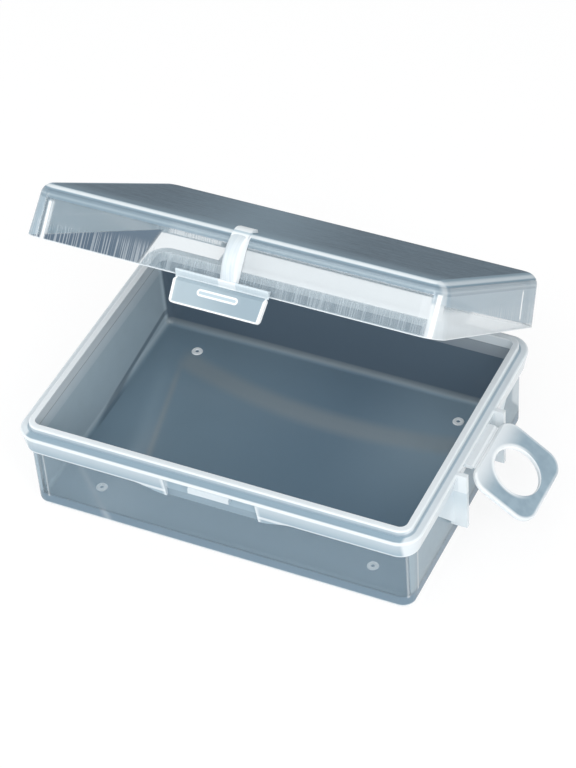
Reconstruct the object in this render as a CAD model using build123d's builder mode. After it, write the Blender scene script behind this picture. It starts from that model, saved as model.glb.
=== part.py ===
"""Hinged bead box: one polypropylene moulding with three film hinges.

Frame in millimetres: origin on the table under the middle of the base, +X towards
the hang loop, -Y towards the latch, +Z up.
"""

import os
from build123d import *

os.makedirs("parts", exist_ok=True)

# Mouth of the base: every other outline is this one, grown outwards.
mouth_width = 83.3
mouth_depth = 59.3
mouth_radius = 1.6

# Base, from the table up.
ledge_height = 20.7
floor_thickness = 1.2
wall_thickness = 1.2
wall_draft = 0.3
outer_floor_round = 1.2
inner_floor_round = 1.2

# Ring marks that the ejector pins leave on the floor.
mark_radius = 1.1
mark_hollow_radius = 0.5
mark_height = 0.2
mark_spacing_x = 62.4
mark_spacing_y = 46.0

# Lip that the lid fits over, and the ledge that it rests on.
lip_thickness = 1.35
lip_height = 1.5
lip_step = 0.3
lip_skirt = 1.3
lip_round = 0.35
ledge_width = 2.0
rim_height = 4.6
rim_lean = 0.95
rim_round = 0.45

# Break in the rim for the latch, and the deeper rim at each end of it.
latch_gap = 20.6
ledge_plate = 0.8
recess_step = 0.65
recess_height = 3.7
flare_length = 8.0
flare_drop = 1.7
catch_width = 9.2
catch_drop = 2.4
catch_ramp = 0.5

# Lid, drawn closed and then opened to the photographed angle.
lid_open = 37.0
seat_gap = 0.1
lid_height = 11.1
lid_wall = 1.2
lid_roof = 1.2
lid_draft = 1.05
lid_round = 2.6
lid_inner_round = 1.4
rib_width = 3.6
rib_offset = 1.1
rib_rise = 0.7
rib_run = 0.9
rib_end_round = 0.5

# Film hinge between base and lid.
web_width = 58.0
web_thickness = 0.9
web_reach = 4.7
film_radius = 0.25
film_clearance = 0.05
film_gap = 0.1

# Latch tab.
tab_top_width = 20.0
tab_bottom_width = 19.3
tab_length = 5.4
tab_thickness = 1.1
tab_clearance = 0.2
tab_corner = 0.8
tab_tilt = 12.0
latch_film_radius = 0.18
latch_film_inset = 0.2
strip_height = 1.3
ridge_height = 1.3
ridge_reach = 0.6
ridge_clearance = 0.15

# Hang loop and what carries it.
loop_width = 19.8
loop_length = 15.7
loop_thickness = 1.1
loop_radius = 3.9
loop_hole_radius = 5.45
loop_hole_reach = 8.0
loop_edge_round = 0.3
loop_droop = 35.0
shelf_reach = 2.0
shelf_thickness = 1.0
shelf_drop = 0.7
shelf_width = 12.6
ear_spacing = 20.3
ear_thickness = 1.0
ear_reach = 2.0
ear_height = 14.3
gusset_length = 8.4
gusset_height = 9.6

# Heights and offsets that follow from the sizes above.
ledge_z = ledge_height
lip_z = ledge_z + lip_height
rim_z = ledge_z - rim_height
floor_z = floor_thickness
step_z = ledge_z - lip_skirt
plate_z = ledge_z - ledge_plate
catch_z = ledge_z - catch_drop
recess_z = ledge_z - recess_height
lid_z = ledge_z + seat_gap
roof_z = lid_z + lid_height

wall_grow = lip_step + wall_thickness
rim_grow = lip_thickness + ledge_width
rim_foot_grow = rim_grow - rim_lean
recess_grow = lip_thickness + recess_step

# The closed lid is flush with the rim all round.
lid_grow = rim_grow

rim_x = mouth_width / 2 + rim_grow
rim_y = mouth_depth / 2 + rim_grow
lid_y = mouth_depth / 2 + lid_grow

hinge_y = rim_y + web_reach
hinge_z = ledge_z + seat_gap / 2
tab_y = -(rim_y + tab_clearance)
latch_y = tab_y - latch_film_inset
latch_z = lid_z - latch_film_radius
loop_x = rim_x + shelf_reach
loop_z = ledge_z - shelf_drop - shelf_thickness / 2

hinge_axis = Axis((0, hinge_y, hinge_z), (1, 0, 0))
latch_axis = Axis((0, latch_y, latch_z), (1, 0, 0))
loop_axis = Axis((loop_x, 0, loop_z), (0, 1, 0))


def outline(grow):
    """Width, depth and corner radius of the mouth's outline, grown outwards."""
    return mouth_width + 2 * grow, mouth_depth + 2 * grow, mouth_radius + grow


def loft_between(low_z, low_grow, high_z, high_grow, mode=Mode.ADD):
    """Loft a tapered block between two grown outlines in the part being built."""
    sections = []
    for z, grow in ((low_z, low_grow), (high_z, high_grow)):
        with BuildSketch(Plane.XY.offset(z)) as section:
            RectangleRounded(*outline(grow))
        sections.append(section.sketch)
    loft(sections=sections, mode=mode)


# Space inside the base, rounded where the walls meet the floor.
with BuildPart() as cavity:
    loft_between(floor_z, lip_step - wall_draft, step_z, lip_step)
    fillet(cavity.faces().sort_by(Axis.Z)[0].edges(), inner_floor_round)
    with BuildSketch(Plane.XY.offset(step_z)):
        RectangleRounded(*outline(0))
    extrude(amount=lip_z - step_z)

# Rim drawn deep, of which only the ends beside a break are kept.
with BuildPart() as rim_flares:
    flare_z = rim_z - flare_drop
    lean = rim_lean / rim_height * (rim_height + flare_drop)
    loft_between(flare_z, rim_grow - lean, ledge_z, rim_grow)
    with BuildSketch(Plane.XZ) as flare_profiles:
        for side in (-1, 1):
            start = side * latch_gap / 2
            end = start + side * flare_length
            with BuildLine():
                Line((start, rim_z), (start, flare_z))
                Spline(
                    (start, flare_z),
                    (end, rim_z),
                    tangents=((side, 0), (side, 0)),
                )
                Line((end, rim_z), (start, rim_z))
            make_face()
    extrude(amount=rim_y, both=True, mode=Mode.INTERSECT)

# Base: walls, rim, lip, catch and the carriers of both hinges.
with BuildPart() as base:
    loft_between(0, wall_grow - wall_draft, ledge_z, wall_grow)
    fillet(base.faces().sort_by(Axis.Z)[0].edges(), outer_floor_round)
    loft_between(rim_z, rim_foot_grow, ledge_z, rim_grow)
    fillet(base.faces().sort_by(Axis.Z)[-1].edges(), rim_round)
    add(rim_flares.part)
    with BuildSketch(Plane.XY.offset(ledge_z)):
        RectangleRounded(*outline(lip_thickness))
    extrude(amount=lip_height)
    fillet(base.faces().sort_by(Axis.Z)[-1].edges(), lip_round)

    # Break in the rim: set back under the ledge, and open to the wall below that.
    rim_bottom_z = rim_z - flare_drop
    for grow, top_z in ((recess_grow, plate_z), (wall_grow, recess_z)):
        with BuildSketch(Plane.XZ.offset(mouth_depth / 2 + grow)):
            with Locations((0, top_z)):
                Rectangle(
                    latch_gap, top_z - rim_bottom_z, align=(Align.CENTER, Align.MAX)
                )
        extrude(amount=ledge_width, mode=Mode.SUBTRACT)

    # Catch that stands in the break.
    with BuildSketch(Plane.YZ):
        with BuildLine():
            Polyline(
                (-rim_y + ledge_width, plate_z),
                (-rim_y + catch_ramp, plate_z),
                (-rim_y, plate_z - catch_ramp),
                (-rim_y, catch_z),
                (-rim_y + ledge_width, catch_z),
                close=True,
            )
        make_face()
    extrude(amount=catch_width / 2, both=True)

    # Half of the hinge web that belongs to the base.
    with BuildSketch(Plane.XY.offset(ledge_z)):
        with Locations((0, rim_y - ledge_width / 2)):
            Rectangle(
                web_width,
                ledge_width / 2 + web_reach - film_gap,
                align=(Align.CENTER, Align.MIN),
            )
    extrude(amount=-web_thickness)
    with Locations((0, hinge_y, hinge_z)):
        Cylinder(film_radius, web_width, rotation=(0, 90, 0), mode=Mode.SUBTRACT)

    # Shelf, ears and gussets beside the hang loop.
    shelf_start = rim_x - ledge_width
    shelf_end = loop_x - film_gap
    with BuildSketch(Plane.XZ):
        with BuildLine():
            Polyline(
                (shelf_start, loop_z + shelf_thickness / 2),
                (shelf_end - shelf_thickness / 2, loop_z + shelf_thickness / 2),
                (shelf_end, loop_z),
                (shelf_end - shelf_thickness / 2, loop_z - shelf_thickness / 2),
                (shelf_start, loop_z - shelf_thickness / 2),
                close=True,
            )
        make_face()
    extrude(amount=shelf_width / 2, both=True)
    for side in (-1, 1):
        with BuildSketch(Plane.XZ.offset(side * ear_spacing / 2)):
            with Locations((rim_x + ear_reach, ledge_z)):
                Rectangle(
                    rim_grow - wall_grow + wall_draft + ear_reach,
                    ear_height,
                    align=(Align.MAX, Align.MAX),
                )
        extrude(amount=ear_thickness / 2, both=True)
        with BuildSketch(Plane.YZ.offset(mouth_width / 2 + lip_step)):
            with BuildLine():
                Polyline(
                    (side * ear_spacing / 2, rim_z),
                    (side * (ear_spacing / 2 + gusset_length), rim_z),
                    (side * ear_spacing / 2, rim_z - gusset_height),
                    close=True,
                )
            make_face()
        extrude(amount=rim_foot_grow - lip_step)
    with Locations((loop_x, 0, loop_z)):
        Cylinder(latch_film_radius, shelf_width, rotation=(90, 0, 0), mode=Mode.SUBTRACT)

    add(cavity.part, mode=Mode.SUBTRACT)

    # Ejector marks.
    with BuildSketch(Plane.XY.offset(floor_z)):
        with GridLocations(mark_spacing_x, mark_spacing_y, 2, 2):
            Circle(mark_radius)
            Circle(mark_hollow_radius, mode=Mode.SUBTRACT)
    extrude(amount=mark_height)

base.part.label = "base"
export_step(base.part, "parts/base.step")

# Lid as it is when closed: a shell that slopes in towards the roof.
with BuildPart() as lid_hollow:
    loft_between(
        lid_z, lid_grow - lid_wall, roof_z - lid_roof, lid_grow - lid_draft - lid_wall
    )
    fillet(lid_hollow.faces().sort_by(Axis.Z)[-1].edges(), lid_inner_round)

with BuildPart() as lid_closed:
    loft_between(lid_z, lid_grow, roof_z, lid_grow - lid_draft)
    fillet(lid_closed.faces().sort_by(Axis.Z)[-1].edges(), lid_round)

    # Thick rib that feeds the latch, up the front wall and round onto the roof.
    with BuildSketch(Plane.YZ.offset(rib_offset)) as rib_profile:
        roof_y = -lid_y + lid_draft
        with BuildLine():
            Polyline(
                (-lid_y, lid_z),
                (-lid_y - rib_rise, lid_z + strip_height),
                (roof_y - rib_rise, roof_z + rib_rise),
                (roof_y + lid_round + rib_run, roof_z + rib_rise),
                (roof_y + lid_round + rib_run + lid_roof, roof_z - lid_roof / 2),
                (-lid_y + lid_wall, lid_z),
                close=True,
            )
        make_face()
        top_front, top_back = (
            rib_profile.vertices().group_by(Axis.Y)[-1].sort_by(Axis.X)
        )
        fillet(top_front, lid_round + rib_rise)
        fillet(top_back, rib_end_round)
    extrude(amount=rib_width / 2, both=True)

    # Strip above the latch, bevelled so that the tab can swing out.
    with BuildSketch(Plane.YZ):
        with BuildLine():
            Polyline(
                (tab_y, lid_z),
                (latch_y, lid_z),
                (tab_y - tab_thickness, lid_z + tab_thickness - latch_film_inset),
                (tab_y - tab_thickness, lid_z + strip_height),
                (-lid_y + lid_wall / 2, lid_z + strip_height),
                (-lid_y + lid_wall / 2, lid_z),
                close=True,
            )
        make_face()
    extrude(amount=tab_top_width / 2, both=True)
    with Locations((0, latch_y, latch_z)):
        Cylinder(
            latch_film_radius, tab_top_width, rotation=(0, 90, 0), mode=Mode.SUBTRACT
        )

    # Half of the hinge web that belongs to the lid.
    with BuildSketch(Plane.XY.offset(lid_z)):
        with Locations((0, lid_y - lid_wall / 2)):
            Rectangle(
                web_width,
                hinge_y - film_gap - lid_y + lid_wall / 2,
                align=(Align.CENTER, Align.MIN),
            )
    extrude(amount=web_thickness)
    with Locations((0, hinge_y, hinge_z)):
        Cylinder(
            film_radius + film_clearance,
            web_width,
            rotation=(0, 90, 0),
            mode=Mode.SUBTRACT,
        )
    add(lid_hollow.part, mode=Mode.SUBTRACT)

with BuildPart() as lid:
    add(lid_closed.part.rotate(hinge_axis, -lid_open))

# Latch tab, drawn hooked under the catch and then swung out a little.
ridge_z = catch_z - ridge_clearance
tab_foot_z = latch_z - tab_length

with BuildPart() as tab_latched:
    with BuildSketch(Plane.XZ.offset(-tab_y)):
        with BuildLine():
            Polyline(
                (-tab_top_width / 2, latch_z),
                (tab_top_width / 2, latch_z),
                (tab_bottom_width / 2, tab_foot_z),
                (-tab_bottom_width / 2, tab_foot_z),
                close=True,
            )
        plate = make_face()
        fillet(plate.vertices().group_by(Axis.Z)[0], tab_corner)
    extrude(amount=tab_thickness)
    with BuildSketch(Plane.YZ):
        with BuildLine():
            Polyline(
                (latch_y, latch_z),
                (tab_y - tab_thickness, latch_z - tab_thickness + latch_film_inset),
                (tab_y - tab_thickness, latch_z),
                close=True,
            )
        make_face()
    extrude(amount=tab_top_width / 2, both=True, mode=Mode.SUBTRACT)
    with BuildSketch(Plane.YZ):
        with BuildLine():
            Polyline(
                (tab_y - tab_thickness / 2, ridge_z),
                (tab_y + ridge_reach, ridge_z),
                (tab_y + ridge_reach, ridge_z - ridge_height / 3),
                (tab_y, ridge_z - ridge_height),
                (tab_y - tab_thickness / 2, ridge_z - ridge_height),
                close=True,
            )
        make_face()
    extrude(amount=catch_width / 2, both=True)
    with Locations((0, latch_y, latch_z)):
        Cylinder(
            latch_film_radius + film_clearance,
            tab_top_width,
            rotation=(0, 90, 0),
            mode=Mode.SUBTRACT,
        )

with BuildPart() as latch_tab:
    add(tab_latched.part.rotate(latch_axis, -tab_tilt).rotate(hinge_axis, -lid_open))

# Hang loop, drawn flat and then drooped.
with BuildPart() as loop_flat:
    with BuildSketch(Plane.XY.offset(loop_z - loop_thickness / 2)):
        with Locations((loop_x + film_gap, 0)):
            RectangleRounded(
                loop_length - film_gap,
                loop_width,
                loop_radius,
                align=(Align.MIN, Align.CENTER),
            )
        with Locations((loop_x + loop_hole_reach, 0)):
            Circle(loop_hole_radius, mode=Mode.SUBTRACT)
    extrude(amount=loop_thickness)
    rims = loop_flat.faces().filter_by(Axis.Z)
    fillet([edge for rim in rims for edge in rim.edges()], loop_edge_round)
    for face in (-1, 1):
        loop_start = loop_x + film_gap
        surface_z = loop_z + face * loop_thickness / 2
        with BuildSketch(Plane.XZ):
            with BuildLine():
                Polyline(
                    (loop_start, loop_z),
                    (loop_start + loop_thickness / 2, surface_z),
                    (loop_start, surface_z),
                    close=True,
                )
            make_face()
        extrude(amount=loop_width / 2, both=True, mode=Mode.SUBTRACT)
    with Locations((loop_x, 0, loop_z)):
        Cylinder(
            latch_film_radius + film_clearance,
            loop_width,
            rotation=(90, 0, 0),
            mode=Mode.SUBTRACT,
        )

with BuildPart() as hang_loop:
    add(loop_flat.part.rotate(loop_axis, loop_droop))

# Films: thin round strips, each held in one half of its hinge.
with BuildPart() as lid_film:
    with Locations((0, hinge_y, hinge_z)):
        Cylinder(film_radius, web_width, rotation=(0, 90, 0))

with BuildPart() as latch_film_closed:
    with Locations((0, latch_y, latch_z)):
        Cylinder(latch_film_radius, tab_top_width, rotation=(0, 90, 0))
with BuildPart() as latch_film:
    add(latch_film_closed.part.rotate(hinge_axis, -lid_open))

with BuildPart() as loop_film:
    with Locations((loop_x, 0, loop_z)):
        Cylinder(latch_film_radius, shelf_width, rotation=(90, 0, 0))

for name, piece in {
    "lid": lid,
    "latch_tab": latch_tab,
    "hang_loop": hang_loop,
    "lid_film": lid_film,
    "latch_film": latch_film,
    "loop_film": loop_film,
}.items():
    piece.part.label = name
    export_step(piece.part, f"parts/{name}.step")
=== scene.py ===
"""Looks of the hinged bead box: clear polypropylene with milky rims and edges, and painted
light and shade.
"""

from math import cos, radians, sin

import bpy
import numpy as np
from mathutils import Matrix, Vector


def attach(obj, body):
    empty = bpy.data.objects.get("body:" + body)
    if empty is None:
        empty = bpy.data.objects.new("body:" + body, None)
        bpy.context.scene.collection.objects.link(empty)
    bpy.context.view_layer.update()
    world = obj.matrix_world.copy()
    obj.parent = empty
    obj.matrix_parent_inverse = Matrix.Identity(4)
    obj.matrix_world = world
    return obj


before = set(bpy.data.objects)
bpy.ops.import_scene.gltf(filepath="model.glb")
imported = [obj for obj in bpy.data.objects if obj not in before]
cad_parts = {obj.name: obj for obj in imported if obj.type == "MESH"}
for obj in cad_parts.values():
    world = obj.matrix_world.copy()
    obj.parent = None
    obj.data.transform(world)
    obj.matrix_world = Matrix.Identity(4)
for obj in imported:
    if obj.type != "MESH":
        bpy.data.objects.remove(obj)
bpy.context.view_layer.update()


# Base: one clear moulding, a shallow tray with a thick milky rim. The rim carries the lip
# that the lid fits over, the ledge that it rests on, the catch, the hinge web and the ears.
MM_PER_METRE = 1000

# Sockets of a Mix node that mixes colours.
MIX_FACTOR, MIX_UNDER, MIX_OVER, MIX_RESULT = 0, 6, 7, 2

# The plastic's gloss lies on it as a clear coat.
COAT_ROUGHNESS, COAT_IOR = 0.16, 1.49


class Signal:
    """A shader output that can be added, scaled and compared like a number."""

    def __init__(self, nodes, socket):
        self.nodes = nodes
        self.socket = socket

    def math(self, operation, *others):
        return self.nodes.add("ShaderNodeMath", {"operation": operation}, [self, *others])

    def __add__(self, other):
        return self.math("ADD", other)

    def __sub__(self, other):
        return self.math("SUBTRACT", other)

    def __rsub__(self, other):
        return self * -1 + other

    def __mul__(self, other):
        return self.math("MULTIPLY", other)

    def __abs__(self):
        return self.math("ABSOLUTE")

    __radd__ = __add__
    __rmul__ = __mul__

    def least(self, other):
        return self.math("MINIMUM", other)

    def most(self, other):
        return self.math("MAXIMUM", other)

    def length(self, other):
        """Length of the vector that this value and another are the sides of."""
        return (self * self + other * other).math("SQRT")

    def above(self, edge, soft):
        """Mask that rises from 0 to 1 about an edge, over a width of soft."""
        span = {"From Min": edge - soft / 2, "From Max": edge + soft / 2}
        return self.nodes.add(
            "ShaderNodeMapRange",
            {"interpolation_type": "SMOOTHSTEP"},
            {"Value": self, **span},
        )

    def below(self, edge, soft):
        """Mask that falls from 1 to 0 about an edge, over a width of soft."""
        return 1 - self.above(edge, soft)

    def within(self, low, high, soft):
        """Mask that is 1 from low to high and fades over soft at both ends."""
        return self.above(low, soft) * self.below(high, soft)


class Nodes:
    """A node tree, emptied and then built node by node."""

    def __init__(self, tree):
        self.tree = tree
        tree.nodes.clear()

    def add(self, kind, settings, inputs, output=0):
        """Add a node of a kind: its settings first, then its sockets' values or links."""
        node = self.tree.nodes.new(kind)
        for name, value in settings.items():
            setattr(node, name, value)
        pairs = inputs.items() if isinstance(inputs, dict) else enumerate(inputs)
        for key, value in pairs:
            if isinstance(value, Signal):
                self.tree.links.new(value.socket, node.inputs[key])
            else:
                node.inputs[key].default_value = value
        return Signal(self, node.outputs[output]) if node.outputs else None


class Paint(Nodes):
    """A plastic in the making, which knows the shaded point's place in millimetres.

    The place is turned about a centre, so that a moved piece is painted as it lies when it
    is closed or flat.
    """

    def __init__(self, name, centre=(0, 0, 0), axis="X_AXIS", angle=0.0):
        self.material = bpy.data.materials.new(name)
        self.material.use_nodes = True
        super().__init__(self.material.node_tree)
        coords = self.add("ShaderNodeTexCoord", {}, {}, "Object")
        scale = (MM_PER_METRE,) * 3
        scaled = self.add("ShaderNodeMapping", {}, {"Vector": coords, "Scale": scale})
        self.place = self.add(
            "ShaderNodeVectorRotate",
            {"rotation_type": axis},
            {"Vector": scaled, "Center": centre, "Angle": angle},
        )
        self.x, self.y, self.z = (
            self.add("ShaderNodeSeparateXYZ", {}, [self.place], letter) for letter in "XYZ"
        )

    def noise(self, scale, stretch=(1, 1, 1), detail=2.0, roughness=0.5):
        """Noise from 0 to 1, with scale grains a millimetre, drawn out by stretch."""
        drawn = self.add("ShaderNodeMapping", {}, {"Vector": self.place, "Scale": stretch})
        return self.add(
            "ShaderNodeTexNoise",
            {},
            {"Vector": drawn, "Scale": scale, "Detail": detail, "Roughness": roughness},
        )

    def outline(self, width, depth, radius, middle=0.0):
        """Distance outwards from a rounded rectangle about y = 0 and the middle in x."""
        across = abs(self.x - middle) - (width / 2 - radius)
        along = abs(self.y) - (depth / 2 - radius)
        corner = across.most(0).length(along.most(0))
        return corner + across.most(along).least(0) - radius

    def layers(self, ground, *coats):
        """Colour of the ground under coats of (mask, colour), each laid on the last."""
        colour = ground
        for mask, coat in coats:
            sides = {MIX_FACTOR: mask, MIX_UNDER: colour, MIX_OVER: coat}
            colour = self.add("ShaderNodeMix", {"data_type": "RGBA"}, sides, MIX_RESULT)
        return colour

    def finish(self, colour, alpha, gloss, relief, depth):
        """Lay colour, opacity, gloss and a relief of depth millimetres on the plastic."""
        bumped = self.add(
            "ShaderNodeBump",
            {},
            {"Height": relief, "Strength": 1.0, "Distance": depth / MM_PER_METRE},
        )
        plastic = self.add(
            "ShaderNodeBsdfPrincipled",
            {},
            {
                "Base Color": colour,
                "Alpha": alpha,
                "Coat Weight": gloss,
                "Normal": bumped,
                "Specular IOR Level": 0.0,
                "Coat Roughness": COAT_ROUGHNESS,
                "Coat IOR": COAT_IOR,
            },
        )
        self.add("ShaderNodeOutputMaterial", {}, {"Surface": plastic})
        return self.material


def srgb(red, green, blue):
    """Display colour, 0 to 255, as the linear colour that the shader takes."""
    linear = [
        c / 12.92 if c <= 0.04045 else ((c + 0.055) / 1.055) ** 2.4
        for c in (red / 255, green / 255, blue / 255)
    ]
    return (*linear, 1.0)


# The plastic's tones and those of its painted light and shade, from its white edges to the
# darkest painted shade.
WHITE = srgb(246, 249, 250)
MILK = srgb(226, 232, 235)
MIST = srgb(206, 217, 223)
HAZE = srgb(180, 197, 206)
SLATE = srgb(148, 169, 182)
DUSK = srgb(124, 146, 160)
DEEP = srgb(106, 128, 144)
NIGHT_SHADE = srgb(90, 106, 120)
INK_SHADE = srgb(66, 84, 102)
SMOKE = srgb(99, 113, 124)
WARM_REFLECTION = srgb(152, 158, 158)

# Opacity of the milky plastic, of a clear wall's outer face, and how much less its inner
# face has.
MILKY, WALL, INNER_LESS = 0.96, 0.37, 0.2

# Width, depth and corner radius of the mouth, and heights above the table.
MOUTH = (83.3, 59.3, 1.6)
FLOOR, FLARE_FOOT, RIM_FOOT, LIP_FOOT, LEDGE, LIP = 1.2, 14.1, 16.1, 19.5, 20.7, 22.2

# Half widths of the break in the front rim and of the catch in it.
BREAK_HALF, CATCH_HALF = 10.35, 4.6

# The ring marks' place from the middle, and their inner and outer radius.
MARK_X, MARK_Y, MARK_HOLLOW, MARK_RADIUS = 31.2, 23.0, 0.4, 1.25

# The painted reflection on the floor, a warm band, bows about this x, from this y at its
# middle.
BAND_X, BAND_Y, BAND_BOW = 8, 12.9, 0.0042


def base_plastic():
    """Clear walls, a darker inside that is partly painted shade, a rim from slate to milk at
    its edges, and painted light.
    """
    p = Paint("polypropylene_base")
    grow = p.outline(*MOUTH)
    beside = abs(p.x)
    cloud = p.noise(0.06, detail=1.0)
    mottle = p.noise(0.35, detail=3.0)

    inside = grow.below(0.75, 0.3) * p.z.below(LIP_FOOT, 0.4)
    floor = inside * p.z.below(FLOOR + 0.5, 0.6)
    # Painted shade on the inner back wall, and painted light on the inner left wall,
    # lightest near its top.
    shaded_back_wall = inside * p.y.above(29.0, 0.6) * p.z.above(2.4, 1.6)
    lit_left_wall = inside * p.x.below(-41.0, 0.6) * p.z.above(1.6, 1.2)
    near_walls = p.y.below(-29.0, 0.5).most(p.x.above(41.0, 0.5))

    # Painted reflections on the floor: a warm band that bows along the back, a narrow
    # slanting one at the left with a lighter haze beside it, and a warm one along the fillet
    # at the back.
    sweep = p.x - BAND_X
    bow = sweep * sweep * BAND_BOW + BAND_Y
    back_reflection = (p.y - bow).within(-2.6, 2.6, 3.4) * p.x.above(-33.0, 4.0)
    side_line = p.x + p.y * 0.22 + 28.8
    left_reflection = side_line.within(-0.5, 0.5, 1.6) * p.y.within(-14.0, 16.0, 9.0)
    reflection_haze = side_line.within(-4.5, -1.5, 4.0) * p.y.within(-20.0, 14.0, 12.0)
    fillet_reflection = p.z.within(1.5, 2.9, 0.8) * p.y.above(28.4, 0.8)
    # Painted shade in the crease along the foot of the left wall.
    slant = p.z - (p.y + 8).most(0) * 0.12
    crease_shade = slant.within(-0.4, 1.0, 0.8) * p.x.below(-40.4, 0.5)

    # The rim from its foot to the lip, with its flared ends beside the break in front.
    above_foot = p.z.above(RIM_FOOT, 0.2)
    lip = p.z.above(LIP_FOOT, 0.4)
    flares = (
        grow.above(1.5, 0.2)
        * p.z.above(FLARE_FOOT, 0.1)
        * beside.within(9, 18, 2)
        * p.y.below(0.0, 1.0)
    )
    upper = (p.z.above(RIM_FOOT - 0.05, 0.1) * grow.above(0.9, 0.2)).most(flares).most(lip)
    # Painted light: the rim whiter along the sides and at the back.
    lit_side_rim = (beside - 41.4).above(0.6, 0.8) * above_foot
    lit_back_rim = p.y.above(30.0, 0.8) * above_foot
    groove = grow.within(1.3, 1.75, 0.25) * p.z.within(LEDGE - 0.3, LEDGE + 0.5, 0.3)
    ledge_edge = grow.above(2.95, 0.3) * p.z.above(LEDGE - 0.75, 0.5)
    rim_fade = p.z.above(18.0, 4.4)
    rim_face = grow.above(1.7, 0.2) * p.z.within(FLARE_FOOT, LEDGE - 0.3, 0.2)
    # A painted highlight along the foot of the rim's face.
    foot_line = grow.above(1.6, 0.2) * p.z.below(RIM_FOOT + 0.35, 0.3) * p.z.above(15.6, 0.3)
    lip_top = p.z.above(LIP - 0.4, 0.3)
    break_band = p.y.below(-31.0, 0.4) * p.z.within(FLARE_FOOT, LEDGE - 0.9, 0.3)
    recess = break_band * beside.below(BREAK_HALF, 0.15)
    catch = recess * beside.below(CATCH_HALF, 0.15) * grow.above(2.2, 0.2)
    ends = break_band * grow.above(1.5, 0.2) * beside.within(10.1, 10.8, 1.0)
    carriers = p.x.above(45.15, 0.2).most(p.y.above(33.15, 0.2))

    # The walls under the rim: painted lines of light where they turn the corners, a painted
    # shimmer across the front, painted shade low down and a painted highlight along the
    # bottom edge.
    below_rim = p.z.below(RIM_FOOT, 0.2)
    outside = grow.above(0.4, 0.3)
    front = p.y.below(-30.0, 0.3)
    ears = p.x.above(43.4, 0.3) * below_rim
    right_wall = p.x.above(42.3, 0.5) * below_rim
    left_corner = p.x.below(-40.6, 0.8) * below_rim * outside
    # Painted shade low on the outer walls, dark and nearly opaque, and a painted highlight
    # along their bottom edge.
    skirt = p.z.below(3.6, 1.6) * outside
    sole = p.z.below(1.05, 0.35) * outside
    corner_lines = (
        (p.x + 39.4).within(-0.22, 0.22, 0.3) * front
        + (p.x - 42.1).within(-0.2, 0.2, 0.3) * p.y.below(-28.6, 0.3)
        + (p.y + 26.9).within(-0.3, 0.3, 0.4) * p.x.above(42.3, 0.2)
    ) * p.z.within(3.0, RIM_FOOT - 0.3, 0.6)
    shimmer = (p.x + 25.4 + p.z * 0.35).within(-0.6, 0.9, 1.8) * front * below_rim
    ring = (beside - MARK_X).length(abs(p.y) - MARK_Y)
    marks = ring.within(MARK_HOLLOW, MARK_RADIUS, 0.2) * p.z.within(0.9, 2.0, 0.2)

    colour = p.layers(
        SLATE,
        (right_wall, HAZE),
        # The inside darker than the outside, partly painted shade.
        (inside, DEEP),
        # Painted light on the floor: lighter at the left and at the back right, where it
        # offsets the lid's shadow.
        (floor * p.x.below(-10.0, 40.0) * 0.85, DUSK),
        (floor * p.x.above(20.0, 30.0) * p.y.above(0.0, 30.0) * 0.7, SLATE),
        (lit_left_wall, HAZE),
        (lit_left_wall * p.z.above(17.0, 3.0) * 0.5, MIST),
        (shaded_back_wall, NIGHT_SHADE),
        (floor * back_reflection * 0.45, WARM_REFLECTION),
        (floor * reflection_haze * 0.3, SLATE),
        (floor * left_reflection * 0.5, WARM_REFLECTION),
        (inside * fillet_reflection * 0.45, WARM_REFLECTION),
        (inside * crease_shade * 0.7, NIGHT_SHADE),
        # Painted light on the inner front edge of the floor, which lies in shade.
        (inside * p.y.below(-27.8, 1.0) * p.z.below(3.2, 1.2), DUSK),
        (left_corner, SLATE),
        (upper, SLATE),
        (rim_face * rim_fade * 0.35, MILK),
        (lit_side_rim.most(lit_back_rim) * 0.8, MILK),
        (ledge_edge * 0.9, MILK),
        (foot_line * 0.7, MILK),
        (recess, SLATE),
        (catch * 0.65, MILK),
        (ends * 0.8, MILK),
        (carriers, MILK),
        (lip * grow.below(1.35, 0.2) * 0.8, MILK),
        (groove * 0.8, SLATE),
        (ears, MIST),
        # Painted light: the ears whiter towards their foot, where they lie in shade.
        (ears * p.z.below(12.0, 6.0) * 0.4, WHITE),
        (lip_top * 0.95, MILK),
        (skirt * 0.95, DEEP),
        (shimmer * 0.16, WHITE),
        (sole * 0.9, MILK),
        (corner_lines * 0.5, WHITE),
        (marks, WHITE),
    )
    solid = upper.most(ears).most(carriers).most(marks).most(floor).most(recess) * MILKY
    clear = (WALL - inside * INNER_LESS).most(inside * (1 - near_walls))
    hazy = (right_wall * 0.62).most(left_corner * 0.85).most(skirt * 0.96)
    alpha = clear.most(solid).most(sole).most(hazy).most(corner_lines * 0.5)
    return p.finish(colour, alpha, mottle * 0.5 + 0.6, cloud + mottle * 0.1, 0.25)


base_material = base_plastic()
for node in ("base", "lid_film", "loop_film"):
    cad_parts[node].material_slots[0].material = base_material


# Lid: a shallow clear cap, flush with the rim, with a large round where its walls meet the
# roof. It is painted as it lies when closed, turned back about the hinge web.
HINGE = (0, 37.7, 20.75)
OPEN = radians(37.0)

# Heights of its foot and roof, and how far its walls lean in between them.
LID_FOOT, ROOF, DRAFT = 20.8, 31.9, 1.05

# Middle and half width of the thumb rib.
RIB_X, RIB_HALF = 1.1, 1.85

# Opacity of its clear walls.
LID_WALL = 0.2


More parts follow.
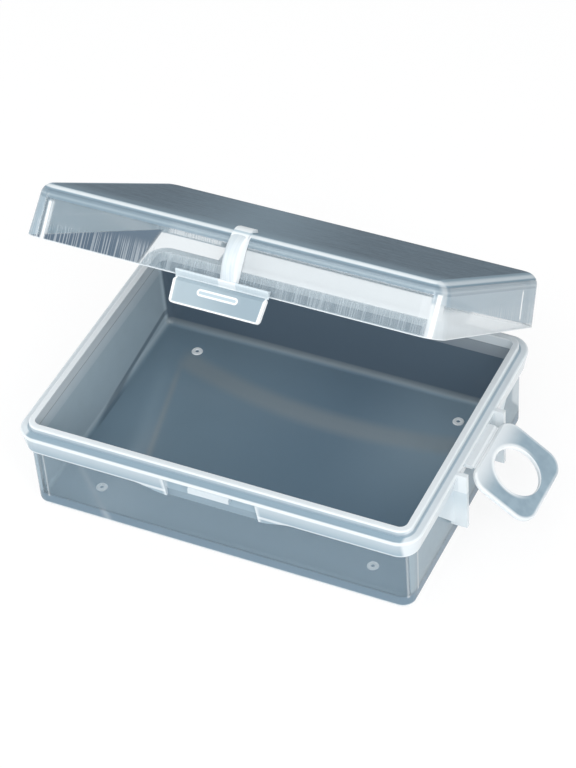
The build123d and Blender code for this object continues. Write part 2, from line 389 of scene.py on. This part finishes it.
def lid_plastic():
    """Slate roof, clear walls with drawn streaks, painted white highlights on corners and
    edges, and painted shade.
    """
    p = Paint("polypropylene_lid", HINGE, "X_AXIS", OPEN)
    height = p.z - LID_FOOT
    grow = p.outline(*MOUTH) + height * (DRAFT / (ROOF - LID_FOOT))
    cloud = p.noise(0.06, detail=1.0)
    mottle = p.noise(0.4, stretch=(0.3, 2.0, 1.0), detail=3.0)
    grain = p.noise(1.2, stretch=(0.5, 1.6, 1.0), detail=4.0, roughness=0.7)
    across = p.noise(1.0, stretch=(3.0, 0.0, 0.035), detail=3.0)
    along = p.noise(1.0, stretch=(0.0, 3.0, 0.035), detail=3.0)

    outer = grow.above(2.7, 0.2)
    outer_face = grow.above(2.4, 0.3)
    front = p.y.below(-30.0, 0.6)
    right = p.x.above(41.8, 0.6)
    left_end = p.x.below(-41.2, 1.4)
    brow = height.above(9.95, 0.2)
    roof = height.above(9.3, 0.4) * grow.below(1.9, 0.4)
    sheen = (p.x + p.y * 0.3 + 6).within(-12, 10, 30) * roof

    # The walls: streaks that run up them, a pale patch right of the rib that is painted
    # light for the lit hinge web behind it, and the bands and lines along them, with a
    # painted highlight on the round under the roof, painted shade along the lower walls and
    # a painted highlight along the foot.
    comb = (across * (1 - right) + along * right).above(0.53, 0.12)
    streaks = comb * (height + across * 4).below(6.5, 2.5)
    lit_web_patch = front * outer * p.x.above(2.9, 0.4) * height.within(3.5, 7.85, 0.35)
    # A painted highlight along the round under the roof, fainter at the right.
    edge_highlight = height.within(10.3, 10.8, 0.35) * grow.above(1.5, 0.3)
    dark_line = height.within(9.7, 9.85, 0.3) * outer_face * front
    band_line = height.within(8.15, 8.3, 0.3) * outer_face * front
    band = height.within(8.3, 10.25, 0.2) * grow.above(1.9, 0.3)
    # Painted shade along the lower walls.
    lower = height.below(3.0, 0.8)
    # A painted highlight along the foot.
    foot = height.below(0.18, 0.2)

    # Painted lines of light at the corners, painted shade where the walls look dark at the
    # front left and high on the right, and painted light low on the right.
    left_glint = (p.x + 40.1).within(-0.4, 0.4, 0.7) * front * height.below(7.9, 1.0)
    right_glint = (p.x - 43.0).within(-0.45, 0.4, 0.4) * front * height.below(8.5, 0.5)
    soft_glint = (p.y + 30.2).within(-0.6, 0.6, 0.8) * right
    back_glint = (p.y - 19.3).within(-0.4, 0.4, 0.4) * right * height.within(2.0, 8.0, 0.8)
    shade_top = (p.z - (p.x + 39.6) * 0.27).below(21.9, 0.35)
    shaded_corner = front * shade_top * (p.x - height * 0.45).below(-18.9, 0.5)
    shaded_right_high = right * (height - (p.y + 16.7) * -0.1).above(5.0, 1.0)
    lit_right_low = right * (1 - shaded_right_high) * height.below(6.0, 3.0)

    # The rib, the strip over the latch and the hinge web.
    rib_width = (p.x - RIB_X).within(-RIB_HALF, RIB_HALF, 0.15)
    rib_face = rib_width * p.y.below(-27.0, 0.2) * grow.above(3.45, 0.1)
    rib = rib_face.most(rib_width * height.above(11.15, 0.1))
    strip = grow.above(3.5, 0.1) * height.below(1.4, 0.1) * front
    web = p.y.above(33.2, 0.2) * height.below(1.2, 0.2)

    colour = p.layers(
        HAZE,
        (roof, SMOKE),
        (roof * mottle.above(0.5, 0.4) * 0.25, DUSK),
        # Painted light on the roof: a sheen across its middle and a lighter margin along its
        # front.
        (sheen * 0.5, SLATE),
        (roof * grain.above(0.52, 0.2) * 0.16, SLATE),
        (roof * p.y.below(-24.0, 10.0) * 0.35, SLATE),
        (left_end * 0.8, SLATE),
        (lower * 0.6, SLATE),
        (lit_web_patch, MILK),
        (shaded_corner, DEEP),
        (shaded_corner * 0.85, INK_SHADE),
        (shaded_corner * p.x.above(-24.0, 6.0) * 0.6, NIGHT_SHADE),
        (shaded_right_high * 0.8, SLATE),
        (lit_right_low * 0.8, MILK),
        (streaks * 0.3, MILK),
        (band * 0.9, DUSK),
        (band * height.within(8.8, 9.2, 0.5) * 0.6, HAZE),
        (dark_line * 0.6, DEEP),
        (band_line * 0.45, DEEP),
        (edge_highlight * (0.9 - right * 0.4), MILK),
        (left_glint * 0.9, WHITE),
        (right_glint, WHITE),
        (soft_glint * 0.5, MILK),
        (back_glint * 0.9, WHITE),
        (foot * 0.8, MILK),
        (strip * 0.8, MIST),
        (web, MILK),
        (rib, MILK),
    )
    lines = edge_highlight.most(left_glint).most(right_glint).most(back_glint)
    solid = roof.most(brow).most(lines).most(rib).most(strip).most(web).most(foot) * MILKY
    hazy = (band * 0.7).most(shaded_corner * 0.92).most(shaded_right_high * 0.7).most(left_end * 0.85)
    veil = (soft_glint * 0.4).most(streaks * 0.4).most(lit_right_low * 0.6).most(lit_web_patch * 0.62)
    alpha = solid.most(hazy).most(veil).most(LID_WALL)
    gloss = 1 - roof.most(brow) * 0.95
    return p.finish(colour, alpha, gloss, cloud + mottle * 0.1, 0.25)


lid_material = lid_plastic()
for node in ("lid", "latch_film"):
    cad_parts[node].material_slots[0].material = lid_material


# Lift rib: the milky thumb rib in the middle of the lid's front. It is moulded with the lid,
# swells towards the roof and rolls over its edge, with fine lines down its face.
RIB_ROWS, RIB_COLUMNS = 48, 25
SWELL_HALF = 1.95

# Guide points, in y and z of the closed lid, of the swollen crest and of its root.
CREST = ((-34.3, 22.0), (-37.6, 25.6), (-35.8, 30.3), (-30.8, 31.85))
ROOT = ((-33.0, 22.0), (-32.7, 27.5), (-32.4, 31.4), (-30.8, 31.3))


def curve(guides, steps):
    """Points of a cubic curve from its four guide points."""
    t = np.linspace(0, 1, steps)[:, None]
    a, b, c, d = np.array(guides, float)
    return a * (1 - t) ** 3 + 3 * b * t * (1 - t) ** 2 + 3 * c * t**2 * (1 - t) + d * t**3


def grid_object(name, points):
    """A smooth piece from a grid of points in millimetres, as rows by columns by 3."""
    rows, columns = points.shape[:2]
    first = (np.arange(rows - 1)[:, None] * columns + np.arange(columns - 1)).reshape(-1)
    faces = np.stack([first, first + 1, first + columns + 1, first + columns], 1)
    mesh = bpy.data.meshes.new(name)
    mesh.from_pydata((points.reshape(-1, 3) / MM_PER_METRE).tolist(), [], faces.tolist())
    mesh.shade_smooth()
    piece = bpy.data.objects.new(name, mesh)
    bpy.context.scene.collection.objects.link(piece)
    return piece


def rib_points():
    """Rounded sections, one row each up the rib, turned up with the lid.

    A section goes from its root to the crest by the square root of 1 less the cube of the
    distance from its middle, which is 1 at its sides.
    """
    crest, root = curve(CREST, RIB_ROWS), curve(ROOT, RIB_ROWS)
    u = np.linspace(-1, 1, RIB_COLUMNS)
    depth = (1 - abs(u) ** 3) ** 0.5
    sides = root[:, None] + (crest - root)[:, None] * depth[None, :, None]
    y, z = sides[..., 0] - HINGE[1], sides[..., 1] - HINGE[2]
    x = np.broadcast_to(RIB_X + SWELL_HALF * u, y.shape)
    turned_y = y * cos(OPEN) + z * sin(OPEN) + HINGE[1]
    turned_z = z * cos(OPEN) - y * sin(OPEN) + HINGE[2]
    return np.stack([x, turned_y, turned_z], 2)


def rib_plastic():
    """Mist with fine milky lines drawn down it, and a painted highlight along its right
    edge.
    """
    p = Paint("polypropylene_rib", HINGE, "X_AXIS", OPEN)
    lines = p.noise(1.0, stretch=(3.0, 0.0, 0.05), detail=2.0)
    # A painted highlight along the rib's right side.
    edge = p.x.above(2.45, 0.4)
    colour = p.layers(MIST, (lines.above(0.5, 0.3) * 0.5, MILK), (edge * 0.8, WHITE))
    return p.finish(colour, edge * 0.03 + 0.95, lines * 0.3 + 0.6, lines, 0.1)


rib = grid_object("lift_rib", rib_points())
rib.data.materials.append(rib_plastic())
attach(rib, "lid")


# Latch tab: a flat plate that hangs from the lid's strip on a film, with a ridge behind it
# that hooks under the catch and shows through as a bright slot.
TAB_TOP = 20.6

# Half width inside the border at the tab's top, how much of it each millimetre down takes,
# and the height inside the border.
TAB_HALF, TAB_LEAN, TAB_INNER = 9.45, 0.07, 4.8

# Half length of the ridge and how far it lies under the tab's top.
RIDGE_HALF, RIDGE_DROP = 3.7, 1.95


def tab_plastic():
    """Pale slate plate, darker to the right by painted shade, with a white border and the
    ridge's white outline.
    """
    p = Paint("polypropylene_tab", HINGE, "X_AXIS", OPEN)
    cloud = p.noise(0.1, detail=1.0)
    mottle = p.noise(0.5, detail=3.0)
    drop = TAB_TOP - p.z
    sides = (abs(p.x) + drop * TAB_LEAN).above(TAB_HALF, 0.25)
    border = sides.most(drop.above(TAB_INNER, 0.25))
    slot = (abs(p.x) - RIDGE_HALF).most(0).length(drop - RIDGE_DROP)
    ring = slot.within(0.3, 0.68, 0.2)
    core = slot.below(0.3, 0.2)
    colour = p.layers(
        HAZE,
        # Painted shade: the plate darker towards the right.
        (p.x.above(0.0, 14.0) * 0.6, SLATE),
        (core, HAZE),
        (border, WHITE),
        (ring, WHITE),
    )
    alpha = border.most(ring).most(core) * 0.25 + 0.7
    return p.finish(colour, alpha, mottle * 0.4 + 0.6, cloud, 0.2)


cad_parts["latch_tab"].material_slots[0].material = tab_plastic()


# Hang loop: a flat ring on the right side for a peg, drooping from its film, milky at the
# root, and white along its rounded edges and by its hole with painted highlights.
LOOP_X, LOOP_Z = 47.0, 19.5
DROOP = radians(35.0)

# Reach, width and corner radius of the ring, and how far out its hole lies.
LOOP_REACH, LOOP_WIDTH, LOOP_CORNER, HOLE_REACH = 15.8, 19.8, 3.9, 8.0


def loop_plastic():
    """Slate ring with milky root and painted highlights on its rims, painted as it lies
    flat.
    """
    p = Paint("polypropylene_loop", (LOOP_X, 0, LOOP_Z), "Y_AXIS", -DROOP)
    cloud = p.noise(0.1, detail=1.0)
    mottle = p.noise(0.5, detail=3.0)
    blotches = p.noise(0.3)
    reach = p.x - LOOP_X
    hole = (reach - HOLE_REACH).length(p.y)
    middle = LOOP_X + LOOP_REACH / 2
    rim = p.outline(LOOP_REACH, LOOP_WIDTH, LOOP_CORNER, middle)
    colour = p.layers(
        SLATE,
        (blotches.above(0.5, 0.3) * 0.45, DUSK),
        (reach.below(3.4, 6.0) * 0.9, MILK),
        # Painted highlights: the rim white on its near side and milky on its far side, a
        # white crescent beside the hole and a white ring round it.
        (rim.above(-0.6, 0.6) * p.y.below(2.0, 10.0) * 0.75, WHITE),
        (rim.above(-0.6, 0.5) * p.y.above(3.0, 8.0) * 0.5, MILK),
        (hole.below(6.2, 0.7) * (reach + p.y * 0.3).below(9.5, 6.0) * 0.8, WHITE),
        (hole.below(5.6, 0.2) * 0.8, WHITE),
    )
    alpha = mottle * 0.04 + 0.92
    return p.finish(colour, alpha, mottle * 0.4 + 0.6, cloud, 0.2)


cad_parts["hang_loop"].material_slots[0].material = loop_plastic()


# Studio: a plain white table and soft light from above and both sides, and the camera at
# the photograph's angle.
PURE_WHITE = (1, 1, 1, 1)

# The table's half width, how far it lies under the box, both in metres, and its paper.
TABLE_HALF, TABLE_GAP = 1.5, 0.0003
PAPER, PAPER_ROUGHNESS = srgb(254, 254, 254), 0.8

# How much of the table is plain white to the camera. The rest keeps the box's shadow.
TABLE_WHITE = 0.85

# Colour and strength of the light from all round.
FILL, FILL_STRENGTH = (0.97, 0.985, 1.0, 1), 0.5

# The camera's bearings in degrees, its aim in millimetres, its distance in metres, and the
# lens and sensor in millimetres.
AZIMUTH, ELEVATION, ROLL = 27.55, 42.42, 4.275
AIM, DISTANCE, LENS, SENSOR = (1.61, 2.33, 20.0), 0.6005, 179.8, 36.0

# Name, place, aim, size and power of each soft light, in metres and watts.
LIGHTS = (
    ("front_softbox", (0.15, -0.42, 0.45), (0, 0, 0.02), (0.6, 0.4), 1.6),
    ("top_softbox", (0.0, 0.05, 0.55), (0, 0, 0.02), (0.7, 0.5), 0.8),
    ("left_strip", (-0.5, -0.25, 0.25), (0, 0, 0.03), (0.12, 0.5), 1.2),
    ("right_strip", (0.45, -0.35, 0.30), (0, 0, 0.03), (0.12, 0.5), 1.2),
)


def area_light(name, place, aim, size, power):
    """A rectangular soft light at a place, turned towards its aim."""
    data = bpy.data.lights.new(name, "AREA")
    data.shape = "RECTANGLE"
    data.size, data.size_y = size
    data.energy = power
    light = bpy.data.objects.new(name, data)
    bpy.context.scene.collection.objects.link(light)
    light.location = place
    light.rotation_euler = (Vector(aim) - Vector(place)).to_track_quat("-Z", "Y").to_euler()


def white_where_seen(nodes, lit, white, share):
    """Mix a share of plain white into a lit shader where it is seen or reflected."""
    camera, glossy, through = (
        nodes.add("ShaderNodeLightPath", {}, {}, f"Is {kind} Ray")
        for kind in ("Camera", "Glossy", "Transmission")
    )
    seen = camera.most(glossy).most(through) * share
    return nodes.add("ShaderNodeMixShader", {}, [seen, lit, white])


def studio_floor():
    """A large plain plane under the box, white to the camera but for the box's shadow."""
    mesh = bpy.data.meshes.new("studio_floor")
    turns = ((-1, -1), (1, -1), (1, 1), (-1, 1))
    corners = [(x * TABLE_HALF, y * TABLE_HALF, 0) for x, y in turns]
    mesh.from_pydata(corners, [], [(0, 1, 2, 3)])
    floor = bpy.data.objects.new("studio_floor", mesh)
    bpy.context.scene.collection.objects.link(floor)
    floor.location.z = -TABLE_GAP
    material = bpy.data.materials.new("studio_floor")
    material.use_nodes = True
    nodes = Nodes(material.node_tree)
    finish = {"Base Color": PAPER, "Roughness": PAPER_ROUGHNESS}
    paper = nodes.add("ShaderNodeBsdfPrincipled", {}, finish)
    white = nodes.add("ShaderNodeEmission", {}, {"Color": PURE_WHITE})
    seen = white_where_seen(nodes, paper, white, TABLE_WHITE)
    nodes.add("ShaderNodeOutputMaterial", {}, {"Surface": seen})
    mesh.materials.append(material)


def studio_world():
    """Even pale light from all round, white where the camera looks straight at it."""
    world = bpy.data.worlds.new("studio")
    bpy.context.scene.world = world
    world.use_nodes = True
    nodes = Nodes(world.node_tree)
    light = {"Color": FILL, "Strength": FILL_STRENGTH}
    fill = nodes.add("ShaderNodeBackground", {}, light)
    white = nodes.add("ShaderNodeBackground", {}, {"Color": PURE_WHITE})
    seen = white_where_seen(nodes, fill, white, 1.0)
    nodes.add("ShaderNodeOutputWorld", {}, {"Surface": seen})


def photo_camera():
    """The camera at the photograph's angle, aimed at a point in the middle of the box."""
    azimuth, elevation, roll = radians(AZIMUTH), radians(ELEVATION), radians(ROLL)
    target = Vector(AIM) / MM_PER_METRE
    back = Vector(
        (sin(azimuth) * cos(elevation), -cos(azimuth) * cos(elevation), sin(elevation))
    )
    data = bpy.data.cameras.new("photo_camera")
    data.sensor_fit = "HORIZONTAL"
    data.sensor_width = SENSOR
    data.lens = LENS
    data.clip_end = 10.0
    camera = bpy.data.objects.new("photo_camera", data)
    bpy.context.scene.collection.objects.link(camera)
    turn = back.to_track_quat("Z", "Y").to_matrix() @ Matrix.Rotation(-roll, 3, "Z")
    camera.matrix_world = Matrix.Translation(target + back * DISTANCE) @ turn.to_4x4()
    bpy.context.scene.camera = camera


studio_floor()
studio_world()
photo_camera()
for light in LIGHTS:
    area_light(*light)

bpy.context.scene.view_settings.view_transform = "Standard"
